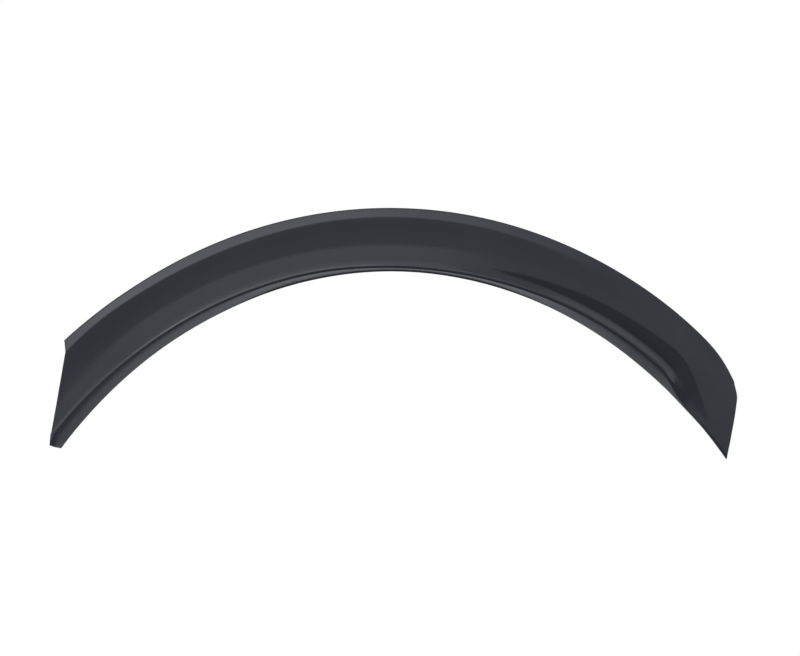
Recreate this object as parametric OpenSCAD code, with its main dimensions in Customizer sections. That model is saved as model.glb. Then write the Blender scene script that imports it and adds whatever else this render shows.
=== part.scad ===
// Wheel arch trim: one moulded shell that covers the edge of a wheel opening on a car body.
// X runs along the car, Y into the body, Z up. The wheel opening is below.
// The origin is on the axis of the crown locating pin, in the plane of the body panel.

/* [Arch] */
// Radius of the wheel opening at the crown, to the lip
arch_r = 402.5; // [385:0.5:430]
// Angle from the crown to the left end, at the lip
left_deg = 56.4; // [55:0.1:57]
// Angle from the crown to the pointed right tip
right_deg = 59.1; // [58:0.1:60]
// Lean of the left end from upright
left_lean = 9.2; // [5:0.1:12]
// Lean of the right end from upright
right_lean = 10; // [8:0.1:11]
// How far the right end bows out between its corners
tail_bow = 2; // [0:0.1:3]
// Radius of the body side seen from above
plan_r = 7500; // [5000:100:20000]

/* [Face] */
// Width of the face at the crown, from the lip to the outer edge
face_w = 58; // [56:0.5:66]
// Width of the sloping band along the outer edge
band_w = 9.6; // [7:0.1:11]
// Width of the flat rim outside the band
rim_w = 1.2; // [0.8:0.1:2]
// Width of the flared skirt above the lip, up to the soft crease
skirt_w = 20.5; // [19:0.5:22]
// Thickness of the outer edge where it meets the body
edge_t = 1.6; // [1.2:0.1:2.4]
// How far the band's crease stands off the body
band_rise = 10; // [8:0.5:14]
// How far the soft crease stands off the body
mid_rise = 12; // [11:0.5:16]
// How far the outer edge stands off the body at the right end
tail_rise = 9.5; // [7:0.5:11]
// Flare of the skirt, from upright
skirt_tilt = 16.5; // [12:0.5:20]
// Slope of the plain face on the right, from upright
face_tilt = 8; // [5:0.5:11]
// Thickness of the moulded wall
wall = 2.8; // [2.4:0.1:3.2]

/* [Scoop] */
// Depth of the scoop below the face at its deepest
scoop_d = 11; // [6:0.5:12]
// Slope of the ledge inside the scoop, from upright
ledge_tilt = 25; // [18:1:30]

/* [Lip] */
// How far the bead on the lip stands proud
bead_h = 1.6; // [1:0.1:2]
// Width of the bead's underside, about half of the bead
bead_w = 1; // [0.8:0.1:1.3]
// Depth of the groove between the bead and the flange
groove_d = 1.9; // [1.2:0.1:2.2]
// How far the flange reaches behind the body panel on the left and at the crown
flange_in = 8; // [4:0.5:12]
// How much further the flange reaches on the right
flange_more = 7; // [2:0.5:10]
// Height of the small hem turned down along the flange's edge near the crown
hem_h = 1.5; // [0.8:0.1:2]
// Size of the small turned-in corner at the left end of the lip
nip = 4.5; // [3:0.5:6]

/* [Fixings] */
// Height of the row of fixings above the lip
row_h = 36; // [34:0.5:38]
// Number of clip seats along the row
seats = 6; // [4:1:6]
// Angle between two clip seats
seat_step = 18; // [16:0.5:18]
// Length of a clip seat along the arch
seat_l = 18; // [16:0.5:20]
// Width of a clip seat across the arch
seat_w = 14; // [13:0.5:15]
// Wall thickness of the clip seats, ribs and pin feet
rib_t = 1.8; // [1.4:0.1:2.4]
// Width of the slot that the neck of a clip slides into
slot_w = 6.5; // [5:0.1:8]
// Gap between a clip seat and the body panel
seat_gap = 0.8; // [0.4:0.1:1.5]
// Diameter of the locating pins
pin_d = 6; // [4:0.5:8]
// Length of the round part of a pin behind the body plane
pin_l = 8; // [5:0.5:12]
// Diameter of the blind hole in the two end bosses
boss_bore = 5; // [4:0.1:6]
// Depth of that hole
boss_depth = 9; // [6:0.5:10]
// Wall around that hole
boss_wall = 2; // [1.5:0.1:3]
// Number of cross ribs
ribs = 5; // [3:2:5]

/* [Hidden] */
$fn = 48;

PLASTIC = [0.16, 0.165, 0.18];

// Steps of the loft along the arch, closer together toward the right end
STATIONS = 72;
BIAS = 1.25;

// Length of the turned-in corner along the arch in degrees, and its share of nip in the radius
NIP_DEG = 1.2;
NIP_DROP = 0.85;

// How far the bead hangs below the line where face and flange would meet
BEAD_DROP = 1.1;

// Where the flange bows outward most, as a share of its depth, and by how much, as a share of its height
BOW = [0.25, 0.22];

// Rise of the flat rim from the outer edge to the band, and depth of the hollow left of the crown
// between the two creases
RIM_RISE = 0.15;
FACE_HOLLOW = 0.4;

// How much further the band's crease and the soft crease stand off on the plain right part
PLAIN_RISE = [0.8, 0.6];

// How much of the bead's height is lost beside the scoop
BEAD_FADE = 0.7;

// How much faster the scoop's floor comes up than its lower edge does, at its right end
FLOOR_LIFT = 1.15;

// Height of the bead's foot and of the groove's far corner from the bead, in bead widths
BEAD_FOOT = 1.8;
GROOVE_DROP = 1.3;

// Depth of the bead's underside and of the groove's two corners behind the face
UNDERSIDE_Y = 0.7;
GROOVE_Y = [2, 2.4];

// Where the hem meets the flange once it has faded out
HEM_FOOT = [0.2, -1];

// The plain rounded edge of the tail, as [height above the far edge, depth behind the face], and how
// deep the flange still is there, in walls
TAIL_EDGE = [[0.5, 0.5], [0.2, 1.1], [0.05, 1.8], [0.03, 2.6], [0.01, 3.7]];
TAIL_WALLS = 1.7;

// Width of the outer edge's foot in walls, left and right
FOOT_WALLS = [1.25, 0.95];

origin_r = arch_r + row_h;

// Places of the end bosses, as [angle, height above the lip]
LEFT_BOSS = [-50, 19];
RIGHT_BOSS = [52, 22];

// Feature lines along the arch, as [angle, offset in mm] from the circle that each one follows
EDGE_LINE = [[-46, 5.4], [-40, 3], [-33, 1], [-22, 0.2], [0, 0.6], [12, 0.5], [28, -0.9],
    [42, -0.9], [46, -1.5], [48.5, -3.8], [51.2, -8.4]];
CREASE_LINE = [[-47, 4.7], [-40, 3.8], [-33, 0.9], [-22, -0.7], [-5, 0.5], [10, 0.3], [24, -0.3],
    [40, -1], [48, -2.5], [53, -5.5]];
MID_LINE = [[-52, 6], [-40, 4.7], [-25, 2], [-5, 0.1], [8, 0.4], [25, 6.5], [43, 15], [54.5, 11.5]];
SCOOP_TOP = [[-54, 17], [-40, 14.5], [-20, 12], [0, 11], [10, 10], [14.5, 9.8], [20, 13],
    [30, 19.7], [40, 25.3], [42.9, 26.7], [44.4, 25.8], [46, 22.8], [48, 17.6], [51.2, 8.4],
    [53.5, 6.2], [59, 8]];
SCOOP_FLOOR = [[-55, 13.8], [-40, 10], [-20, 8], [0, 7.2], [10, 7.9], [14.5, 8.5], [20, 8.7],
    [30, 10.5], [40, 12.5], [42.5, 12.6], [44.2, 11.8], [46, 8.9], [48, 5.4], [50, 2.6], [53, 1.6],
    [59, 4]];
LIP_LINE = [[-56, 10], [-50, 7], [-40, 3.2], [-25, 1.3], [-10, 1.2], [0, 0], [15, 0.6], [30, 3.8],
    [42.5, 5.8], [44.5, 4.4], [47, 1.2], [49, -1.8], [51, -4], [55, -2.6], [59, -1]];
FAR_LINE = [[-58, -2.3], [-50, -5.7], [-40, -8], [-27, -8.8], [-15, -7.3], [0, -5.9], [15, -6.2],
    [30, -6.9], [40, -6.7], [45.5, -5.9], [50, -6.5], [55, -4.8], [59, -3.1]];

function clamp(v, low = 0, high = 1) = max(low, min(high, v));
function ease(t, a, b) = let(u = clamp((t - a) / (b - a))) u * u * (3 - 2 * u);
function mix(a, b, u) = a + (b - a) * u;

// A smooth curve through the points of a feature line
function slope(k, i) =
    let(a = k[max(i - 1, 0)], b = k[min(i + 1, len(k) - 1)]) (b[1] - a[1]) / (b[0] - a[0]);
function span(k, t, i = 0) = (i >= len(k) - 2 || t < k[i + 1][0]) ? i : span(k, t, i + 1);
function curve(k, t) =
    let(i = span(k, t), h = k[i + 1][0] - k[i][0], u = clamp((t - k[i][0]) / h), v = 1 - u)
    k[i][1] * (1 + 2 * u) * v * v + slope(k, i) * h * u * v * v
    + k[i + 1][1] * u * u * (3 - 2 * u) - slope(k, i + 1) * h * u * u * v;

// Where things fade along the arch: 0 before, 1 after
function plain(t) = ease(t, 9, 30);
function unflared(t) = ease(t, 6, 20);
function scooped(t) = clamp((t - 14.5) / 27);
function tail(t) = ease(t, 44, 51);
function beaded(t) = (1 - BEAD_FADE * ease(t, 12, 26)) * (1 - ease(t, 41.5, 46.5));
function end_nip(t) = clamp((0.5 - left_deg - t) / NIP_DEG);

// Radius of each feature line
function edge_r(t) = arch_r + face_w + curve(EDGE_LINE, t);
function crease_r(t) = arch_r + face_w - band_w + curve(CREASE_LINE, t);
function mid_r(t) = arch_r + skirt_w + curve(MID_LINE, t);
function top_r(t) = arch_r + curve(SCOOP_TOP, t);
function floor_r(t) = arch_r + curve(SCOOP_FLOOR, t);
function lip_r(t) = arch_r + curve(LIP_LINE, t) - end_nip(t) * nip * NIP_DROP;
function far_r(t) = arch_r + curve(FAR_LINE, t);

// Depth of each feature line, negative in front of the body
function edge_y(t) = -mix(edge_t, tail_rise, plain(t));
function crease_y(t) = -band_rise - plain(t) * PLAIN_RISE[0];
function mid_y(t) = -mid_rise - plain(t) * PLAIN_RISE[1];
function low_tilt(t) = mix(skirt_tilt, face_tilt, unflared(t));
function face_y(t, r) = mid_y(t) - (mid_r(t) - r) * tan(low_tilt(t));
function ledge(t) = scooped(t) * (scoop_d - (floor_r(t) - lip_r(t)) * (tan(ledge_tilt) - tan(face_tilt)));
function lip_in(t) = ledge(min(t, 43)) * (1 - ease(t, 48.5, 53.5));
function end_in(t) =
    lip_in(t) * min(1, FLOOR_LIFT * (top_r(t) - floor_r(t)) / (top_r(t) - lip_r(t)));
function floor_in(t) = mix(scooped(t) * scoop_d, end_in(t), ease(t, 43.5, 47.5));
function floor_y(t) = face_y(t, floor_r(t)) + floor_in(t);
function lip_y(t) = face_y(t, lip_r(t)) + lip_in(t) + end_nip(t) * nip;
function far_y(t) =
    mix(flange_in + flange_more * ease(t, 0, 40), lip_y(t) + TAIL_WALLS * wall, tail(t));

// Corners of the section at one angle, as [radius, depth], from the outer edge to the far edge
function lip_at(t) = [lip_r(t), lip_y(t)];
function main_line(t) = [
    [edge_r(t) - rim_w, edge_y(t) - RIM_RISE],
    [crease_r(t), crease_y(t)],
    [(crease_r(t) + mid_r(t)) / 2, (crease_y(t) + mid_y(t)) / 2 + FACE_HOLLOW * (1 - plain(t))],
    [mid_r(t), mid_y(t)],
    [top_r(t), face_y(t, top_r(t))],
    [floor_r(t), floor_y(t)],
    lip_at(t),
    [far_r(t), far_y(t)]
];

// A point on the line from lip to face, d above the lip, and the bead's place on it
function on_face(t, d) = mix(lip_at(t), [floor_r(t), floor_y(t)], d / (floor_r(t) - lip_r(t)));
function drop(t) = BEAD_DROP * (1 - tail(t)) * (1 - end_nip(t));

// The bead, the groove, the bowed flange and its hem fade into a plain rounded edge along the tail
function groove(t) = groove_d * mix(0.4, 1, ease(t, -50, -5));
function hem(t) = hem_h * (1 - ease(abs(t), 14, 28));
function lip_detail(t) =
    let(k = lip_at(t), f = [far_r(t), far_y(t)], w = tail(t), bead = on_face(t, -drop(t)),
        top = bead - [0, bead_h * beaded(t)],
        turn = bead + [-GROOVE_DROP * bead_w - groove(t) / 2, GROOVE_Y[1]],
        bow = [mix(k[0], f[0], BOW[0] + BOW[1]), mix(k[1], f[1], BOW[0])],
        edge = [for (p = TAIL_EDGE) [f[0], k[1]] + p])
    [
        on_face(t, BEAD_FOOT * bead_w - drop(t)),
        top,
        mix(top + [-bead_w, UNDERSIDE_Y], edge[0], w),
        mix([turn[0] + groove(t), bead[1] + GROOVE_Y[0]], edge[1], w),
        mix(turn, edge[2], w),
        mix(bow, edge[3], w),
        mix(f + [hem(t), 0] + HEM_FOOT, edge[4], w)
    ];
function outer(t) = let(m = main_line(t)) concat(
    [[edge_r(t), 0], [edge_r(t), edge_y(t)]],
    [for (i = [0:5]) m[i]],
    lip_detail(t),
    [m[7]]
);

// A point between a and b on the flange, u of the way, with the flange's bow
function bowed(t, a, b, u) = mix(a, b, u)
    + [min(u / BOW[0], (1 - u) / (1 - BOW[0])) * BOW[1] * (far_r(t) - lip_r(t)) * (1 - tail(t)), 0];

// The inner skin lies one wall behind the outer one, with its corners mitred
function unit(v) = v / norm(v);
function turned(v) = [v[1], -v[0]];
function mitred(m, i) =
    let(b = i == len(m) - 1 ? turned(unit(m[i] - m[i - 1])) : turned(unit(m[i + 1] - m[i])),
        a = i == 0 ? b : turned(unit(m[i] - m[i - 1])))
    m[i] + wall * (a + b) / (1 + a * b);
function inner(t) =
    let(m = main_line(t), q = [for (i = [0:len(m) - 1]) mitred(m, i)], p = plain(t),
        foot = [edge_r(t) - wall * mix(FOOT_WALLS[0], FOOT_WALLS[1], p), 0])
    concat(
        [foot],
        [mix(mix(foot, q[1], 0.2), [foot[0], m[0][1] + 1.4 * wall], p)],
        [mix(mix(foot, q[1], 0.45), [foot[0] - 0.4 * wall, m[0][1] + wall], p)],
        [for (i = [1:5]) q[i]],
        [mix(q[6], q[5], 0.6), mix(q[6], q[5], 0.3)],
        [for (u = [0, 0.1, BOW[0], 0.45, 0.8, 1]) bowed(t, q[6], q[7], u)]
    );

// Number of points on each corner, and how far its rounding starts from it. The band's crease and the
// soft crease get softer to the right, the soft crease also toward the left end.
COUNT = [1, 1, 1, 3, 1, 3, 3, 2, 1, 3, 1, 1, 1, 3, 1, 1];
BAND_SOFT = [1.2, 7];
MID_SOFT = [2, 5];
MID_LEFT_SOFT = 4;
BOW_SOFT = 5;
SOFT = 1.4;
function setback(i, t) =
    i == 3 ? mix(BAND_SOFT[0], BAND_SOFT[1], ease(t, 18, 34))
    : i == 5 ? mix(MID_SOFT[0], MID_SOFT[1], unflared(t)) + MID_LEFT_SOFT * (1 - ease(t, -50, -36))
    : i == 9 ? bead_w / 2
    : i == 13 ? BOW_SOFT
    : SOFT;

// Angles at which the circle of radius r meets the two end cuts, for the corners of both skins. The
// corners up to RIM lie on the outer edge and turn a little to the left. Those from LIP on reach no
// further left than the tip of the lip.
RIM = 2;
RIM_TURN = 0.95;
LIP = 8;
left_p = (arch_r + LIP_LINE[0][1]) * sin(left_deg + left_lean);
right_p = (arch_r + FAR_LINE[len(FAR_LINE) - 1][1]) * sin(right_deg - right_lean);
function cut_left(r) = left_lean - asin(left_p / r);
function cut_right(r) = let(u = clamp((r - arch_r) / face_w))
    right_lean + asin(right_p / r) + 4 * u * (1 - u) * tail_bow / r * 180 / PI;
function corner(t, i, inside) = inside ? inner(t)[i] : outer(t)[i];
LEFT_TIP = cut_left(lip_r(cut_left(lip_r(-52))));
function left_end(i, inside) = i < LIP
    ? cut_left(corner(cut_left(corner(-52, i, inside)[0]), i, inside)[0]) - (i > RIM ? 0 : RIM_TURN)
    : max(LEFT_TIP, cut_left(corner(LEFT_TIP, i, inside)[0]));
function right_end(i, inside) = let(t = cut_right(corner(55, i, inside)[0]))
    cut_right(corner(t, i, inside)[0]) - (i > RIM ? 0 : RIM_TURN);
function ends(inside) = [for (i = [0:len(COUNT) - 1]) [left_end(i, inside), right_end(i, inside)]];
OUTER_ENDS = ends(false);
INNER_ENDS = ends(true);

// One ring of the shell, as [angle, radius, depth]: down the outer skin and back up the inner one
function toward(p, q, d) = p + (q - p) * min(0.48, d / max(0.01, norm([q[1] - p[1], q[2] - p[2]])));
function rounded(c, i) = COUNT[i] == 1 ? [c[i]]
    : let(d = setback(i, c[i][0]), a = toward(c[i], c[i - 1], d), b = toward(c[i], c[i + 1], d))
    [for (j = [0:COUNT[i] - 1]) let(u = j / (COUNT[i] - 1)) mix(mix(a, c[i], u), mix(c[i], b, u), u)];
function skin(c) = [for (i = [0:len(c) - 1]) each rounded(c, i)];
function corners(s, inside) = [for (i = [0:len(COUNT) - 1])
    let(e = (inside ? INNER_ENDS : OUTER_ENDS)[i], t = mix(e[0], e[1], s), p = corner(t, i, inside))
    [t, p[0], p[1]]];
function reversed(v) = [for (i = [len(v) - 1:-1:0]) v[i]];
function ring(s) = concat(skin(corners(s, false)), reversed(skin(corners(s, true))));

function sweep(x) = x * x / (2 * plan_r);
function in_space(p) = let(x = p[1] * sin(p[0])) [x, p[2] + sweep(x), p[1] * cos(p[0]) - origin_r];

// The moulded shell, lofted from ring to ring and closed at both ends
module shell() {
    nip_s = NIP_DEG / (OUTER_ENDS[LIP][1] - OUTER_ENDS[LIP][0]);
    along = concat([0, nip_s], [for (i = [1:STATIONS]) 1 - pow(1 - i / STATIONS, BIAS)]);
    rings = [for (s = along) [for (p = ring(s)) in_space(p)]];
    n = len(rings[0]);
    last = (len(rings) - 1) * n;
    sides = [for (i = [0:len(rings) - 2], j = [0:n - 1])
        let(k = (j + 1) % n, a = i * n + j, b = i * n + k, c = a + n, d = b + n)
        each [[a, d, b], [a, c, d]]];
    ends = [for (j = [0:n / 2 - 2], e = [0, last])
        let(a = e + j, b = e + j + 1, c = e + n - 2 - j, d = e + n - 1 - j)
        each e == 0 ? [[a, c, d], [a, b, c]] : [[a, c, b], [a, d, c]]];
    polyhedron([for (r = rings) each r], concat(sides, ends));
}

// Depth of the outer skin at one place on the face, and the middle of the wall there
function skin_y(t, r) = let(m = main_line(t)) lookup(r, [for (i = [6:-1:1]) m[i]]);
function core_y(t, r) = skin_y(t, r) + wall / 2;

// Puts a fixing on the back of the face, its Y into the body and its Z away from the arch centre
module at(t, r) {
    translate([r * sin(t), sweep(r * sin(t)), r * cos(t) - origin_r]) rotate([0, t, 0]) children();
}
module block(x0, x1, y0, y1, z0, z1) {
    translate([x0, y0, z0]) cube([x1 - x0, y1 - y0, z1 - z0]);
}
module rod(d, y0, y1) {
    translate([0, y0, 0]) rotate([-90, 0, 0]) cylinder(d = d, h = y1 - y0);
}

// Seat for one push-in clip: a box open at one end, with a slot that the neck of the clip slides along
module clip_seat(t) {
    low = core_y(t, origin_r);
    high = -seat_gap;
    at(t, origin_r) difference() {
        block(-seat_l / 2, seat_l / 2, low, high, -seat_w / 2, seat_w / 2);
        block(rib_t - seat_l / 2, seat_l, low - 1, high - rib_t, rib_t - seat_w / 2, seat_w / 2 - rib_t);
        block(0, seat_l, high - rib_t - 1, high + 1, -slot_w / 2, slot_w / 2);
        rod(slot_w, high - rib_t - 1, high + 1);
    }
}

// Round pin that finds its hole in the body panel, on a stepped foot that stands on a cross rib
module locating_pin(t) {
    low = core_y(t, origin_r);
    foot_r = pin_d / 2 + rib_t;
    point = pin_d / 4;
    side = [[0, low], [foot_r, low], [foot_r, -seat_gap], [pin_d / 2, -seat_gap], [pin_d / 2, pin_l],
        [pin_d / 2 - point / 2, pin_l + point], [0, pin_l + point]];
    at(t, origin_r) {
        rotate([-90, 0, 0]) rotate_extrude() polygon(side);
        block(-2 * foot_r, 2 * foot_r, low, -seat_gap - 2 * rib_t, -rib_t / 2, rib_t / 2);
    }
}

// Boss with a blind round hole, one near each end
module end_boss(t, r) {
    at(t, r) difference() {
        rod(boss_bore + 2 * boss_wall, core_y(t, r), 0);
        rod(boss_bore, -boss_depth, 1);
    }
}

// Thin rib across the back of the face, from the band to the flange
module cross_rib(t) {
    m = main_line(t);
    core = [for (i = [1:6]) mitred(m, i) / 2 + m[i] / 2];
    root = mitred(m, 7) / 2 + m[7] / 2;
    top = -seat_gap - rib_t;
    ends = [mix(core[0][0], m[0][0] - wall, 0.8), (top - core[5][1]) / (root[1] - core[5][1])];
    outline = concat([[ends[0], top]], core, [for (u = [BOW[0], ends[1]]) bowed(t, core[5], root, u)]);
    translate([0, 0, -origin_r]) rotate([0, t, 0]) translate([rib_t / 2, 0, 0])
        rotate([0, -90, 0]) linear_extrude(rib_t)
        polygon([for (p = outline) [p[0], p[1] + sweep(p[0] * sin(t))]]);
}

module arch_trim() {
    color(PLASTIC) {
        shell();
        for (i = [0:seats - 1]) clip_seat((i - (seats - 1) / 2) * seat_step);
        for (i = [-2:2:2]) locating_pin(i * seat_step);
        end_boss(LEFT_BOSS[0], arch_r + LEFT_BOSS[1]);
        end_boss(RIGHT_BOSS[0], arch_r + RIGHT_BOSS[1]);
        for (i = [0:ribs - 1]) cross_rib((i - (ribs - 1) / 2) * seat_step);
    }
}

arch_trim();
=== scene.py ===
"""Looks of the wheel arch trim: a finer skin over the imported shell, its back fixings, its moulded finish, a studio.

Sizes are in millimetres, as in the part's source, until a mesh is made. X runs along the car, Y into the body, Z up.
"""

import math

import bmesh
import bpy
import numpy as np
from mathutils import Matrix, Vector


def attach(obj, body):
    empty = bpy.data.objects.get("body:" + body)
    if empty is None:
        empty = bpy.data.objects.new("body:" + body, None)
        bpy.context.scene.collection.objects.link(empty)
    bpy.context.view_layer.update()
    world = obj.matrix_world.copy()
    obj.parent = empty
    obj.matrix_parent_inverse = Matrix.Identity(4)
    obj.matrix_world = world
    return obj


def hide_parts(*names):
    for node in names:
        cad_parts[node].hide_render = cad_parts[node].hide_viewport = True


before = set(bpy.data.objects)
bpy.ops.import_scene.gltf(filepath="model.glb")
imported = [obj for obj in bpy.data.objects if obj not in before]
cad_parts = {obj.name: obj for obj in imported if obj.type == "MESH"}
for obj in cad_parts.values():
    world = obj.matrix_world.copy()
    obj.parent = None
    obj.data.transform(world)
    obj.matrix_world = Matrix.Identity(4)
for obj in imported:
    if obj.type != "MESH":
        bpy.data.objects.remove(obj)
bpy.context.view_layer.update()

# Sizes of the trim, as in the part's source
ARCH_R, FACE_W, BAND_W, RIM_W, SKIRT_W = 402.5, 58, 9.6, 1.2, 20.5
LEFT_DEG, RIGHT_DEG, LEFT_LEAN, RIGHT_LEAN, TAIL_BOW = 56.4, 59.1, 9.2, 10, 2
PLAN_R = 7500
EDGE_T, BAND_RISE, MID_RISE, TAIL_RISE = 1.6, 10, 12, 9.5
SKIRT_TILT, FACE_TILT, LEDGE_TILT, WALL = 16.5, 8, 25, 2.8
SCOOP_D = 11
BEAD_H, BEAD_W, GROOVE_D, FLANGE_IN, FLANGE_MORE, HEM, NIP = 1.6, 1, 1.9, 8, 7, 1.5, 4.5
ROW_H, SEATS, SEAT_STEP, SEAT_L, SEAT_W = 36, 6, 18, 18, 14
RIB_T, SLOT_W, SEAT_GAP, PIN_D, PIN_L = 1.8, 6.5, 0.8, 6, 8
BOSS_BORE, BOSS_DEPTH, BOSS_WALL, RIBS = 5, 9, 2, 5
LEFT_BOSS, RIGHT_BOSS = (-50, 19), (52, 22)
NIP_DEG, NIP_DROP, BEAD_DROP, BOW = 1.2, 0.85, 1.1, (0.25, 0.22)
RIM_RISE, FACE_HOLLOW, PLAIN_RISE, BEAD_FADE, FLOOR_LIFT = 0.15, 0.4, (0.8, 0.6), 0.7, 1.15
BEAD_FOOT, GROOVE_DROP, UNDERSIDE_Y, GROOVE_Y, HEM_FOOT = 1.8, 1.3, 0.7, (2, 2.4), (0.2, -1)
TAIL_EDGE, TAIL_WALLS = [(0.5, 0.5), (0.2, 1.1), (0.05, 1.8), (0.03, 2.6), (0.01, 3.7)], 1.7
FOOT_WALLS, BAND_SOFT, MID_SOFT, MID_LEFT_SOFT, BOW_SOFT, SOFT = (1.25, 0.95), (1.2, 7), (2, 5), 4, 5, 1.4
ORIGIN_R = ARCH_R + ROW_H

# The section's corners are counted from the foot of the outer edge. Those up to RIM lie on the outer edge, and their
# ends turn to the left by RIM_TURN degrees. LIP is the bead's foot, and the bead's top follows it.
CORNERS, RIM, RIM_TURN, LIP = 16, 2, 0.95, 8

# Share of that turn that each of them has on the outer and the inner skin, so that both end on one line
OUTER_TURN, INNER_TURN = (1, 1, 0.87), (0.6, 0.5, 0.35)

# Small radii that a mould leaves where the source has a sharp corner: on the skin, its cut ends and the fixings
SKIN_RADIUS, END_RADIUS, FIXING_RADIUS = 0.35, 0.4, 0.3

# The mesh's mark on the bead, and how rough the bead is, beside about 0.4 for the rest of the trim
POLISHED, BEAD_ROUGHNESS = "polished_bead", 0.12

# Feature lines along the arch: angle from the crown in degrees, and offset in millimetres
EDGE_LINE = [(-46, 5.4), (-40, 3), (-33, 1), (-22, 0.2), (0, 0.6), (12, 0.5), (28, -0.9),
             (42, -0.9), (46, -1.5), (48.5, -3.8), (51.2, -8.4)]
CREASE_LINE = [(-47, 4.7), (-40, 3.8), (-33, 0.9), (-22, -0.7), (-5, 0.5), (10, 0.3), (24, -0.3),
               (40, -1), (48, -2.5), (53, -5.5)]
MID_LINE = [(-52, 6), (-40, 4.7), (-25, 2), (-5, 0.1), (8, 0.4), (25, 6.5), (43, 15), (54.5, 11.5)]
SCOOP_TOP = [(-54, 17), (-40, 14.5), (-20, 12), (0, 11), (10, 10), (14.5, 9.8), (20, 13),
             (30, 19.7), (40, 25.3), (42.9, 26.7), (44.4, 25.8), (46, 22.8), (48, 17.6),
             (51.2, 8.4), (53.5, 6.2), (59, 8)]
SCOOP_FLOOR = [(-55, 13.8), (-40, 10), (-20, 8), (0, 7.2), (10, 7.9), (14.5, 8.5), (20, 8.7),
               (30, 10.5), (40, 12.5), (42.5, 12.6), (44.2, 11.8), (46, 8.9), (48, 5.4), (50, 2.6),
               (53, 1.6), (59, 4)]
LIP_LINE = [(-56, 10), (-50, 7), (-40, 3.2), (-25, 1.3), (-10, 1.2), (0, 0), (15, 0.6), (30, 3.8),
            (42.5, 5.8), (44.5, 4.4), (47, 1.2), (49, -1.8), (51, -4), (55, -2.6), (59, -1)]
FAR_LINE = [(-58, -2.3), (-50, -5.7), (-40, -8), (-27, -8.8), (-15, -7.3), (0, -5.9), (15, -6.2),
            (30, -6.9), (40, -6.7), (45.5, -5.9), (50, -6.5), (55, -4.8), (59, -3.1)]


def clamp(v, low=0.0, high=1.0):
    return np.clip(v, low, high)


def ease(t, a, b):
    u = clamp((t - a) / (b - a))
    return u * u * (3 - 2 * u)


def mix(a, b, u):
    return a + (b - a) * u


def tan_deg(a):
    return np.tan(np.radians(a))


def curve(line, t):
    """Offset of a feature line at angle t, as a smooth curve through its points."""
    k = np.array(line, float)
    i = np.clip(np.searchsorted(k[:, 0], t, side="right") - 1, 0, len(k) - 2)
    last = len(k) - 1
    slopes = np.array([(k[min(j + 1, last)][1] - k[max(j - 1, 0)][1])
                       / (k[min(j + 1, last)][0] - k[max(j - 1, 0)][0]) for j in range(last + 1)])
    h = k[i + 1, 0] - k[i, 0]
    u = clamp((t - k[i, 0]) / h)
    v = 1 - u
    return (k[i, 1] * (1 + 2 * u) * v * v + slopes[i] * h * u * v * v
            + k[i + 1, 1] * u * u * (3 - 2 * u) - slopes[i + 1] * h * u * u * v)


def plain(t):
    return ease(t, 9, 30)


def unflared(t):
    return ease(t, 6, 20)


def scooped(t):
    return clamp((t - 14.5) / 27)


def tail(t):
    return ease(t, 44, 51)


def end_nip(t):
    return clamp((0.5 - LEFT_DEG - t) / NIP_DEG)


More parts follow.
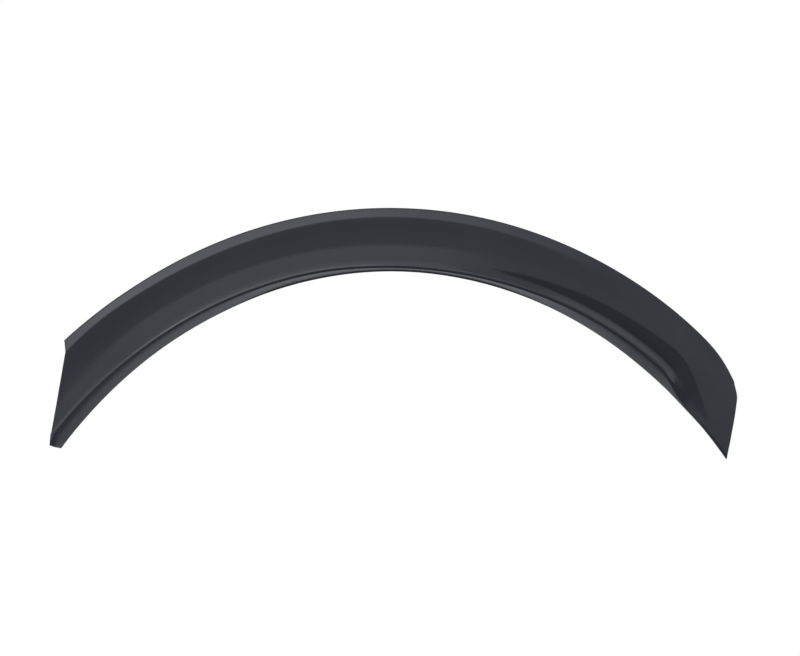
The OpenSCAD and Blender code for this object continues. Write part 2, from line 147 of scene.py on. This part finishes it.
def section(t):
    """Corners of the outer skin at angle t, from the outer edge to the flange's far edge: radii and depths."""
    edge_r = ARCH_R + FACE_W + curve(EDGE_LINE, t)
    crease_r = ARCH_R + FACE_W - BAND_W + curve(CREASE_LINE, t)
    mid_r = ARCH_R + SKIRT_W + curve(MID_LINE, t)
    top_r = ARCH_R + curve(SCOOP_TOP, t)
    floor_r = ARCH_R + curve(SCOOP_FLOOR, t)
    lip_r = ARCH_R + curve(LIP_LINE, t) - end_nip(t) * NIP * NIP_DROP
    far_r = ARCH_R + curve(FAR_LINE, t)
    edge_y = -mix(EDGE_T, TAIL_RISE, plain(t))
    crease_y = -BAND_RISE - plain(t) * PLAIN_RISE[0]
    mid_y = -MID_RISE - plain(t) * PLAIN_RISE[1]
    tilt = tan_deg(mix(SKIRT_TILT, FACE_TILT, unflared(t)))

    def face_y(r):
        return mid_y - (mid_r - r) * tilt

    def ledge(a):
        at_floor, at_lip = ARCH_R + curve(SCOOP_FLOOR, a), ARCH_R + curve(LIP_LINE, a)
        return scooped(a) * (SCOOP_D - (at_floor - at_lip) * (tan_deg(LEDGE_TILT) - tan_deg(FACE_TILT)))

    lip_in = ledge(np.minimum(t, 43)) * (1 - ease(t, 48.5, 53.5))
    end_in = lip_in * np.minimum(1, FLOOR_LIFT * (top_r - floor_r) / (top_r - lip_r))
    floor_y = face_y(floor_r) + mix(scooped(t) * SCOOP_D, end_in, ease(t, 43.5, 47.5))
    lip_y = face_y(lip_r) + lip_in + end_nip(t) * NIP
    far_y = mix(FLANGE_IN + FLANGE_MORE * ease(t, 0, 40), lip_y + TAIL_WALLS * WALL, tail(t))
    main = [(edge_r - RIM_W, edge_y - RIM_RISE),
            (crease_r, crease_y),
            ((crease_r + mid_r) / 2, (crease_y + mid_y) / 2 + FACE_HOLLOW * (1 - plain(t))),
            (mid_r, mid_y),
            (top_r, face_y(top_r)),
            (floor_r, floor_y),
            (lip_r, lip_y),
            (far_r, far_y)]
    main = np.stack([np.stack(p, -1) for p in main], -2)
    w = tail(t)
    groove = GROOVE_D * mix(0.4, 1, ease(t, -50, -5))
    beaded = (1 - BEAD_FADE * ease(t, 12, 26)) * (1 - ease(t, 41.5, 46.5))
    drop = BEAD_DROP * (1 - w) * (1 - end_nip(t))

    def on_face(d):
        u = d / (floor_r - lip_r)
        return mix(lip_r, floor_r, u), mix(lip_y, floor_y, u)

    bead_r, bead_y = on_face(-drop)
    top_y = bead_y - BEAD_H * beaded
    turn_r, turn_y = bead_r - GROOVE_DROP * BEAD_W - groove / 2, bead_y + GROOVE_Y[1]
    bow_r, bow_y = mix(lip_r, far_r, BOW[0] + BOW[1]), mix(lip_y, far_y, BOW[0])
    hem = HEM * (1 - ease(abs(t), 14, 28))
    fading = [(bead_r - BEAD_W, top_y + UNDERSIDE_Y),
              (turn_r + groove, bead_y + GROOVE_Y[0]),
              (turn_r, turn_y),
              (bow_r, bow_y),
              (far_r + hem + HEM_FOOT[0], far_y + HEM_FOOT[1])]
    detail = [on_face(BEAD_FOOT * BEAD_W - drop), (bead_r, top_y)]
    detail += [(mix(r, far_r + up, w), mix(y, lip_y + back, w)) for (r, y), (up, back) in zip(fading, TAIL_EDGE)]
    detail = np.stack([np.stack(p, -1) for p in detail], -2)
    rim = np.stack([np.stack([edge_r, 0 * t], -1), np.stack([edge_r, edge_y], -1)], -2)
    outer = np.concatenate([rim, main[..., :6, :], detail, main[..., 7:, :]], -2)
    return main, outer, edge_r


def bowed(t, a, b, u):
    """A point between a and b on the flange, u of the way, with the flange's bow."""
    height = curve(FAR_LINE, t) - curve(LIP_LINE, t) + end_nip(t) * NIP * NIP_DROP
    out = min(u / BOW[0], (1 - u) / (1 - BOW[0])) * BOW[1] * height * (1 - tail(t))
    return mix(a, b, u) + np.stack([out, 0 * out], -1)


def inner_section(t):
    """The inner skin's corners, one wall behind the outer ones."""
    main, _, edge_r = section(t)
    step = np.diff(main, axis=-2)
    step /= np.linalg.norm(step, axis=-1, keepdims=True)
    side = np.stack([step[..., 1], -step[..., 0]], -1)
    a = np.concatenate([side[..., :1, :], side], -2)
    b = np.concatenate([side, side[..., -1:, :]], -2)
    q = main + WALL * (a + b) / (1 + np.sum(a * b, -1, keepdims=True))
    p = plain(t)[..., None]
    foot = np.stack([edge_r - WALL * mix(*FOOT_WALLS, plain(t)), 0 * t], -1)
    up = main[..., 0, 1]
    second = np.stack([foot[..., 0], up + 1.4 * WALL], -1)
    third = np.stack([foot[..., 0] - 0.4 * WALL, up + WALL], -1)
    rows = [foot, mix(mix(foot, q[..., 1, :], 0.2), second, p), mix(mix(foot, q[..., 1, :], 0.45), third, p)]
    rows += [q[..., i, :] for i in range(1, 6)]
    lip, floor, far = q[..., 6, :], q[..., 5, :], q[..., 7, :]
    rows += [mix(lip, floor, 0.6), mix(lip, floor, 0.3)]
    rows += [bowed(t, lip, far, u) for u in (0, 0.1, BOW[0], 0.45, 0.8, 1)]
    return np.stack(rows, -2), main, q


def end_angles(inside):
    """Angles at which each corner line of a skin meets the slanted cuts at the left and right end."""
    left_p = (ARCH_R + LIP_LINE[0][1]) * math.sin(math.radians(LEFT_DEG + LEFT_LEAN))
    right_p = (ARCH_R + FAR_LINE[-1][1]) * math.sin(math.radians(RIGHT_DEG - RIGHT_LEAN))

    def radius(t, i):
        t = np.array(float(t))
        return float(inner_section(t)[0][i][0] if inside else section(t)[1][i][0])

    def lip_radius(t):
        return float(section(np.array(float(t)))[0][6][0])

    def cut_left(r):
        return LEFT_LEAN - math.degrees(math.asin(left_p / r))

    def cut_right(r):
        u = float(clamp((r - ARCH_R) / FACE_W))
        return RIGHT_LEAN + math.degrees(math.asin(right_p / r) + 4 * u * (1 - u) * TAIL_BOW / r)

    left, right = [], []
    tip = cut_left(lip_radius(cut_left(lip_radius(-52))))
    for i in range(CORNERS):
        turn = 0 if i > RIM else RIM_TURN * (INNER_TURN if inside else OUTER_TURN)[i]
        if i < LIP:
            left.append(cut_left(radius(cut_left(radius(-52, i)), i)) - turn)
        else:
            left.append(max(tip, cut_left(radius(tip, i))))
        right.append(cut_right(radius(cut_right(radius(55, i)), i)) - turn)
    return np.array(left), np.array(right)


# Points on each corner
POINTS = [3, 4, 4, 7, 3, 9, 9, 6, 3, 7, 4, 4, 4, 6, 3, 3]


def setback(i, t):
    """How far the rounding of a corner starts from it."""
    if i == 3:
        return mix(*BAND_SOFT, ease(t, 18, 34))
    if i == 5:
        return mix(*MID_SOFT, unflared(t)) + MID_LEFT_SOFT * (1 - ease(t, -50, -36))
    own = {2: 0.5, 4: 4, 6: SOFT, 7: SOFT, 9: 0.4 * BEAD_W, 13: BOW_SOFT}
    return own.get(i, SKIN_RADIUS) + 0 * t


def rounded(c, inside):
    """Replaces each corner of every ring by a short curve. c holds angle, radius and depth."""
    rows = []
    for i in range(CORNERS):
        here, before, after = c[:, i], c[:, max(i - 1, 0)], c[:, min(i + 1, CORNERS - 1)]
        n = POINTS[i]
        d = setback(i, here[:, 0]) * (1 if not inside or i in (3, 5, 6, 7) else 0.6)

        def toward(q):
            length = np.maximum(0.01, np.linalg.norm((q - here)[:, 1:], axis=1))
            return here + (q - here) * np.minimum(0.48, d / length)[:, None]

        a, b = toward(before), toward(after)
        for j in range(n):
            u = j / (n - 1)
            rows.append(mix(mix(a, here, u), mix(here, b, u), u))
    return np.stack(rows, 1)


def sweep(x):
    return x * x / (2 * PLAN_R)


def in_space(p):
    """Angle, radius and depth to X, Y, Z."""
    a = np.radians(p[..., 0])
    x = p[..., 1] * np.sin(a)
    return np.stack([x, p[..., 2] + sweep(x), p[..., 1] * np.cos(a) - ORIGIN_R], -1)


def make_mesh(name, points, faces, sharp=35):
    """A mesh object from points in millimetres, smooth up to an angle, that moves with the trim."""
    mesh = bpy.data.meshes.new(name)
    mesh.from_pydata([tuple(p) for p in np.asarray(points) / 1000], [], faces)
    mesh.update()
    piece = bpy.data.objects.new(name, mesh)
    bpy.context.scene.collection.objects.link(piece)
    mesh.polygons.foreach_set("use_smooth", [True] * len(mesh.polygons))
    mesh.set_sharp_from_angle(angle=math.radians(sharp))
    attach(piece, "root")
    return piece


def moulded_skin(stations=520):
    """The face, scoop, lip and flange as one closed skin, lofted as in the source but with finer steps."""
    outer_left, outer_right = end_angles(False)
    inner_left, inner_right = end_angles(True)
    nip = NIP_DEG / (outer_right[LIP] - outer_left[LIP])
    along = 1 - (1 - np.linspace(0, 1, stations)) ** 1.15
    along = np.unique(np.concatenate([along, nip * np.array([0.5, 0.8, 1.0, 1.2, 1.5])]))
    t = mix(outer_left[None], outer_right[None], along[:, None])
    front = np.stack([section(t[:, i])[1][:, i] for i in range(CORNERS)], 1)
    front = rounded(np.concatenate([t[..., None], front], -1), False)
    t = mix(inner_left[None], inner_right[None], along[:, None])
    back = np.stack([inner_section(t[:, i])[0][:, i] for i in range(CORNERS)], 1)
    back = rounded(np.concatenate([t[..., None], back], -1), True)[:, ::-1]
    rings = in_space(np.concatenate([front, back], 1))
    half = front.shape[1]
    rings = np.concatenate([soft_end(rings)[::-1], rings[1:-1], soft_end(rings[::-1])])
    n, m = rings.shape[1], rings.shape[0]
    faces = [(i * n + j, (i + 1) * n + j, (i + 1) * n + (j + 1) % n, i * n + (j + 1) % n)
             for i in range(m - 1) for j in range(n)]
    for j in range(half - 1):
        faces.append((j, j + 1, n - 2 - j, n - 1 - j))
        e = (m - 1) * n
        faces.append((e + n - 1 - j, e + n - 2 - j, e + j + 1, e + j))
    skin = make_mesh("moulded_skin", rings.reshape(-1, 3), faces, 50)
    crest = np.zeros((m, n))
    beside = 1 - tail(mix(outer_left[LIP], outer_right[LIP], along[1:-1]))
    crest[:, sum(POINTS[:LIP]):sum(POINTS[:LIP + 2])] = np.pad(beside, (m - len(beside)) // 2, "edge")[:, None]
    skin.data.attributes.new(POLISHED, "FLOAT", "POINT").data.foreach_set("value", crest.ravel())
    return skin


def soft_end(rings, steps=3):
    """Rings that round the rim of a cut end: back along the arch, and in toward the middle of the wall."""
    end, back = rings[0], rings[1] - rings[0]
    back = back / np.maximum(1e-6, np.linalg.norm(back, axis=1, keepdims=True))
    across = end[::-1] - end
    across = across / np.maximum(1e-6, np.linalg.norm(across, axis=1, keepdims=True))
    turns = np.radians(np.linspace(0, 90, steps + 1))
    return np.array([end + END_RADIUS * ((1 - math.sin(a)) * back + (1 - math.cos(a)) * across) for a in turns])


def at(t, r):
    """Place of a fixing: its X along the arch, its Y into the body and its Z away from the arch's centre."""
    x = r * math.sin(math.radians(t))
    place = Matrix.Translation((x, sweep(x), r * math.cos(math.radians(t)) - ORIGIN_R))
    return place @ Matrix.Rotation(math.radians(t), 4, "Y")


def core_y(t, r):
    """Depth of the middle of the wall at one place on the face."""
    main = section(np.array(float(t)))[0][6:0:-1]
    return float(np.interp(r, main[:, 0], main[:, 1])) + WALL / 2


def prism(outline, low, high, place):
    """Points and faces of an outline in X and Z, carried from one depth to another."""
    n = len(outline)
    points = [place @ Vector((x, y, z)) for y in (low, high) for x, z in outline]
    faces = [tuple(range(n)), tuple(range(2 * n - 1, n - 1, -1))]
    faces += [(i + n, (i + 1) % n + n, (i + 1) % n, i) for i in range(n)]
    return points, faces


def lathed(profile, place, steps=48):
    """Points and faces of a profile in radius and depth, turned about Y. It starts and ends on the axis."""
    points = [place @ Vector((0, profile[0][1], 0)), place @ Vector((0, profile[-1][1], 0))]
    rows = profile[1:-1]
    for r, y in rows:
        for k in range(steps):
            a = 2 * math.pi * k / steps
            points.append(place @ Vector((r * math.cos(a), y, r * math.sin(a))))
    faces = []
    for k in range(steps):
        q = (k + 1) % steps
        faces.append((0, 2 + k, 2 + q))
        last = 2 + (len(rows) - 1) * steps
        faces.append((1, last + q, last + k))
        for i in range(len(rows) - 1):
            a, b = 2 + i * steps, 2 + (i + 1) * steps
            faces.append((a + k, b + k, b + q, a + q))
    return points, faces


def fixing(name, solids):
    """One piece from several solids, with the small radius that a mould leaves on each edge."""
    points, faces = [], []
    for more_points, more_faces in solids:
        faces += [tuple(len(points) + i for i in f) for f in more_faces]
        points += more_points
    piece = make_mesh(name, points, faces, 40)
    outward = bmesh.new()
    outward.from_mesh(piece.data)
    bmesh.ops.recalc_face_normals(outward, faces=outward.faces)
    outward.to_mesh(piece.data)
    outward.free()
    soft = piece.modifiers.new("moulded_edges", "BEVEL")
    soft.width, soft.segments = FIXING_RADIUS / 1000, 2
    soft.limit_method, soft.angle_limit = "ANGLE", math.radians(40)
    soft.harden_normals = True
    return piece


def clip_seat(t):
    """A box open at one end, with a slot for the neck of a push-in clip."""
    place, low, high = at(t, ORIGIN_R), core_y(t, ORIGIN_R), -SEAT_GAP
    x, z, s = SEAT_L / 2, SEAT_W / 2, SLOT_W / 2
    inset = 0.03  # keeps the walls' faces off the plate's
    walls = [(-x + inset, -z + inset), (x - inset, -z + inset), (x - inset, RIB_T - z), (RIB_T - x, RIB_T - z),
             (RIB_T - x, z - RIB_T), (x - inset, z - RIB_T), (x - inset, z - inset), (-x + inset, z - inset)]
    slot = [(s * math.cos(a), s * math.sin(a)) for a in np.radians(np.linspace(-90, -270, 19))]
    plate = [(-x, -z), (x, -z), (x, -s), *slot, (x, s), (x, z), (-x, z)]
    return [prism(walls, low, high - RIB_T / 3, place), prism(plate, high - RIB_T, high, place)]


def locating_pin(t):
    """A round pin with a tapered point, on a stepped foot between two short fins."""
    place, low = at(t, ORIGIN_R), core_y(t, ORIGIN_R)
    foot, r, point = PIN_D / 2 + RIB_T, PIN_D / 2, PIN_D / 4
    side = [(0, low), (foot, low), (foot, -SEAT_GAP), (r, -SEAT_GAP), (r, PIN_L), (r - point / 2, PIN_L + point),
            (0, PIN_L + point)]
    fin = [(-2 * foot, -RIB_T / 2), (2 * foot, -RIB_T / 2), (2 * foot, RIB_T / 2), (-2 * foot, RIB_T / 2)]
    return [lathed(side, place), prism(fin, low, -SEAT_GAP - 2 * RIB_T, place)]


def end_boss(t, r):
    """A boss with a blind round hole for an end stud."""
    outside, hole = BOSS_BORE / 2 + BOSS_WALL, BOSS_BORE / 2
    low = core_y(t, r)
    side = [(0, low), (outside, low), (outside, 0), (hole, 0), (hole, -BOSS_DEPTH), (0, -BOSS_DEPTH)]
    return [lathed(side, at(t, r))]


def cross_rib(t):
    """A thin rib across the back of the face, from the band to the flange."""
    _, main, q = inner_section(np.array(float(t)))
    core = (main + q) / 2
    top = -SEAT_GAP - RIB_T
    share = (top - core[6][1]) / (core[7][1] - core[6][1])
    flange = [bowed(np.array(float(t)), core[6], core[7], u) for u in (BOW[0], share)]
    outline = [(mix(core[1][0], main[0][0] - WALL, 0.8), top), *core[1:7], *flange]
    turn = Matrix.Translation((0, 0, -ORIGIN_R)) @ Matrix.Rotation(math.radians(t), 4, "Y")
    side = math.sin(math.radians(t))
    n = len(outline)
    points = [turn @ Vector((x, y + sweep(r * side), r)) for x in (-RIB_T / 2, RIB_T / 2) for r, y in outline]
    faces = [tuple(range(n)), tuple(range(2 * n - 1, n - 1, -1))]
    faces += [(i + n, (i + 1) % n + n, (i + 1) % n, i) for i in range(n)]
    return [(points, faces)]


def in_row(count):
    """Angles of a row of fixings, centred on the crown."""
    return [(i - (count - 1) / 2) * SEAT_STEP for i in range(count)]


skin = moulded_skin()
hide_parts("arch_trim")
trim = [
    skin,
    fixing("clip_seats", [s for t in in_row(SEATS) for s in clip_seat(t)]),
    fixing("locating_pins", [s for i in (-2, 0, 2) for s in locating_pin(i * SEAT_STEP)]),
    fixing("end_bosses", [s for t, h in (LEFT_BOSS, RIGHT_BOSS) for s in end_boss(t, ARCH_R + h)]),
    fixing("cross_ribs", [s for t in in_row(RIBS) for s in cross_rib(t)]),
]


def linear(code):
    """An sRGB hex colour as linear values, opaque."""
    parts = [int(code[i:i + 2], 16) / 255 for i in (1, 3, 5)]
    return [c / 12.92 if c <= 0.04045 else ((c + 0.055) / 1.055) ** 2.4 for c in parts] + [1.0]


def add(tree, kind, links=(), **settings):
    """Adds a node. A setting is a socket's name with _ for a space, or else one of the node's own properties. Each
    link is the input's name and the output that feeds it."""
    node = tree.nodes.new("ShaderNode" + kind)
    for name, value in settings.items():
        socket = name.replace("_", " ")
        if socket in node.inputs:
            node.inputs[socket].default_value = value
        else:
            setattr(node, name, value)
    for name, output in dict(links).items():
        tree.links.new(node.inputs[name], output)
    return node


def moulded_satin_polypropylene():
    """Talc-filled polypropylene, injection moulded in a finely spark-eroded steel mould: a dyed-through black that is
    matt close up, with a soft sheen that brightens toward the lights and a faint cloudiness where the melt flowed."""
    made = bpy.data.materials.new("moulded_satin_polypropylene")
    made.use_nodes = True
    tree = made.node_tree
    tree.nodes.clear()
    place = add(tree, "TexCoord").outputs["Object"]
    # Real grain is about 0.1 mm across. It is drawn at 0.6 mm so that it shows in the render.
    grain = add(tree, "TexNoise", {"Vector": place}, Scale=1 / 0.0006, Detail=2.0, Roughness=0.6).outputs["Fac"]
    flow = add(tree, "TexNoise", {"Vector": place}, Scale=1 / 0.06, Detail=3.0, Distortion=0.6).outputs["Fac"]
    haze = add(tree, "TexNoise", {"Vector": place}, Scale=1 / 0.009, Detail=4.0).outputs["Fac"]
    dye = add(tree, "ValToRGB", {"Fac": flow})
    dye.color_ramp.elements[0].position, dye.color_ramp.elements[1].position = 0.35, 0.65
    dye.color_ramp.elements[0].color, dye.color_ramp.elements[1].color = linear("#191b24"), linear("#1d1f28")
    rough = add(tree, "MapRange", {"Value": haze}, To_Min=0.36, To_Max=0.43)
    # The bead is left out of the mould's etched grain, so it is smoother and shines as a thin line.
    bead = add(tree, "Attribute", attribute_name=POLISHED).outputs["Fac"]
    rough = add(tree, "Mix", {"Factor": bead, "A": rough.outputs["Result"]}, B=BEAD_ROUGHNESS)
    bump = add(tree, "Bump", {"Height": grain}, Strength=0.12, Distance=0.00006)
    surface = add(tree, "BsdfPrincipled", {"Base Color": dye.outputs["Color"], "Roughness": rough.outputs["Result"],
                                           "Normal": bump.outputs["Normal"]}, IOR=1.49)
    add(tree, "OutputMaterial", {"Surface": surface.outputs["BSDF"]})
    return made


plastic = moulded_satin_polypropylene()
for piece in trim:
    piece.data.materials.append(plastic)


def white_floor():
    """Pale floor. The camera sees it as plain white paper, and the trim sees it dimmer, as the photograph shows."""
    made = bpy.data.materials.new("white_paper")
    made.use_nodes = True
    tree = made.node_tree
    tree.nodes.clear()
    seen = add(tree, "LightPath").outputs["Is Camera Ray"]
    # Painted shade and painted light on the floor: its colour, as the trim sees it, runs from darker toward the
    # camera to lighter behind the trim, in place of uneven light falling on the floor.
    away = add(tree, "SeparateXYZ", {"Vector": add(tree, "TexCoord").outputs["Object"]}).outputs["Y"]
    depth = add(tree, "MapRange", {"Value": away}, From_Min=-0.3, From_Max=0.5)
    painted_floor_shade = add(tree, "ValToRGB", {"Fac": depth.outputs["Result"]})
    painted_floor_shade.color_ramp.elements[0].color, painted_floor_shade.color_ramp.elements[1].color = linear("#96989b"), linear("#bcbdbe")
    paper = add(tree, "BsdfDiffuse", {"Color": painted_floor_shade.outputs["Color"]})
    glow = add(tree, "Emission", Color=linear("#ffffff"), Strength=1.0)
    both = add(tree, "MixShader", {"Fac": seen})
    tree.links.new(both.inputs[1], paper.outputs["BSDF"])
    tree.links.new(both.inputs[2], glow.outputs["Emission"])
    add(tree, "OutputMaterial", {"Surface": both.outputs["Shader"]})
    return made


# The floor lies 0.13 m below the trim's ends and reaches 40 m each way.
REACH, FLOOR_Z = 40, -0.36
mesh = bpy.data.meshes.new("floor")
mesh.from_pydata([(x * REACH, y * REACH, FLOOR_Z) for x, y in ((-1, -1), (1, -1), (1, 1), (-1, 1))], [],
                 [(0, 1, 2, 3)])
floor = bpy.data.objects.new("floor", mesh)
floor.data.materials.append(white_floor())
bpy.context.scene.collection.objects.link(floor)


def studio_air():
    """The room beyond the lights. The camera sees it white. The trim sees it brighten from the horizon up."""
    world = bpy.data.worlds.new("studio_air")
    bpy.context.scene.world = world
    world.use_nodes = True
    tree = world.node_tree
    tree.nodes.clear()
    seen = add(tree, "LightPath").outputs["Is Camera Ray"]
    toward = add(tree, "SeparateXYZ", {"Vector": add(tree, "TexCoord").outputs["Generated"]})
    level = add(tree, "MapRange", {"Value": toward.outputs["Z"]}, To_Min=0.61, To_Max=1.15,
                interpolation_type="SMOOTHSTEP")
    air = add(tree, "Background", {"Strength": level.outputs["Result"]}, Color=linear("#f6f8ff"))
    white = add(tree, "Background", Color=linear("#ffffff"), Strength=1.0)
    both = add(tree, "MixShader", {"Fac": seen})
    tree.links.new(both.inputs[1], air.outputs["Background"])
    tree.links.new(both.inputs[2], white.outputs["Background"])
    add(tree, "OutputWorld", {"Surface": both.outputs["Shader"]})


def softbox(name, place, size, glow, target=(0, 0, -0.1)):
    """A flat soft light aimed at the trim. glow is its brightness beside white."""
    lamp = bpy.data.lights.new(name, "AREA")
    lamp.shape, lamp.size, lamp.size_y = "RECTANGLE", *size
    lamp.energy = glow * math.pi * size[0] * size[1]
    light = bpy.data.objects.new(name, lamp)
    light.location = place
    light.rotation_euler = (Vector(target) - Vector(place)).to_track_quat("-Z", "Y").to_euler()
    light.visible_camera = False
    bpy.context.scene.collection.objects.link(light)


studio_air()
softbox("overhead_softbox", (-1.1, -0.2, 2.3), (4.2, 2.4), 0.5)
softbox("rear_softbox", (-0.5, 1.6, 2.1), (4.4, 1.6), 1.0)
softbox("left_softbox", (-2.6, -0.9, 1.2), (2.4, 2.0), 0.8)
softbox("front_softbox", (-1.2, -2.2, 2.3), (4.4, 2.0), 0.5)
softbox("right_softbox", (2.4, -2.4, 0.9), (2.0, 2.4), 0.65)
bpy.context.scene.view_settings.view_transform = "Standard"

# Camera at the photograph's distance and height, level and square to the trim
lens = bpy.data.cameras.new("camera")
lens.lens, lens.sensor_width = 75.0, 36.0
camera = bpy.data.objects.new("camera", lens)
camera.location = (0.01122, -1.7, -0.09986)
camera.rotation_euler = (math.radians(90), 0, 0)
bpy.context.scene.collection.objects.link(camera)
bpy.context.scene.camera = camera
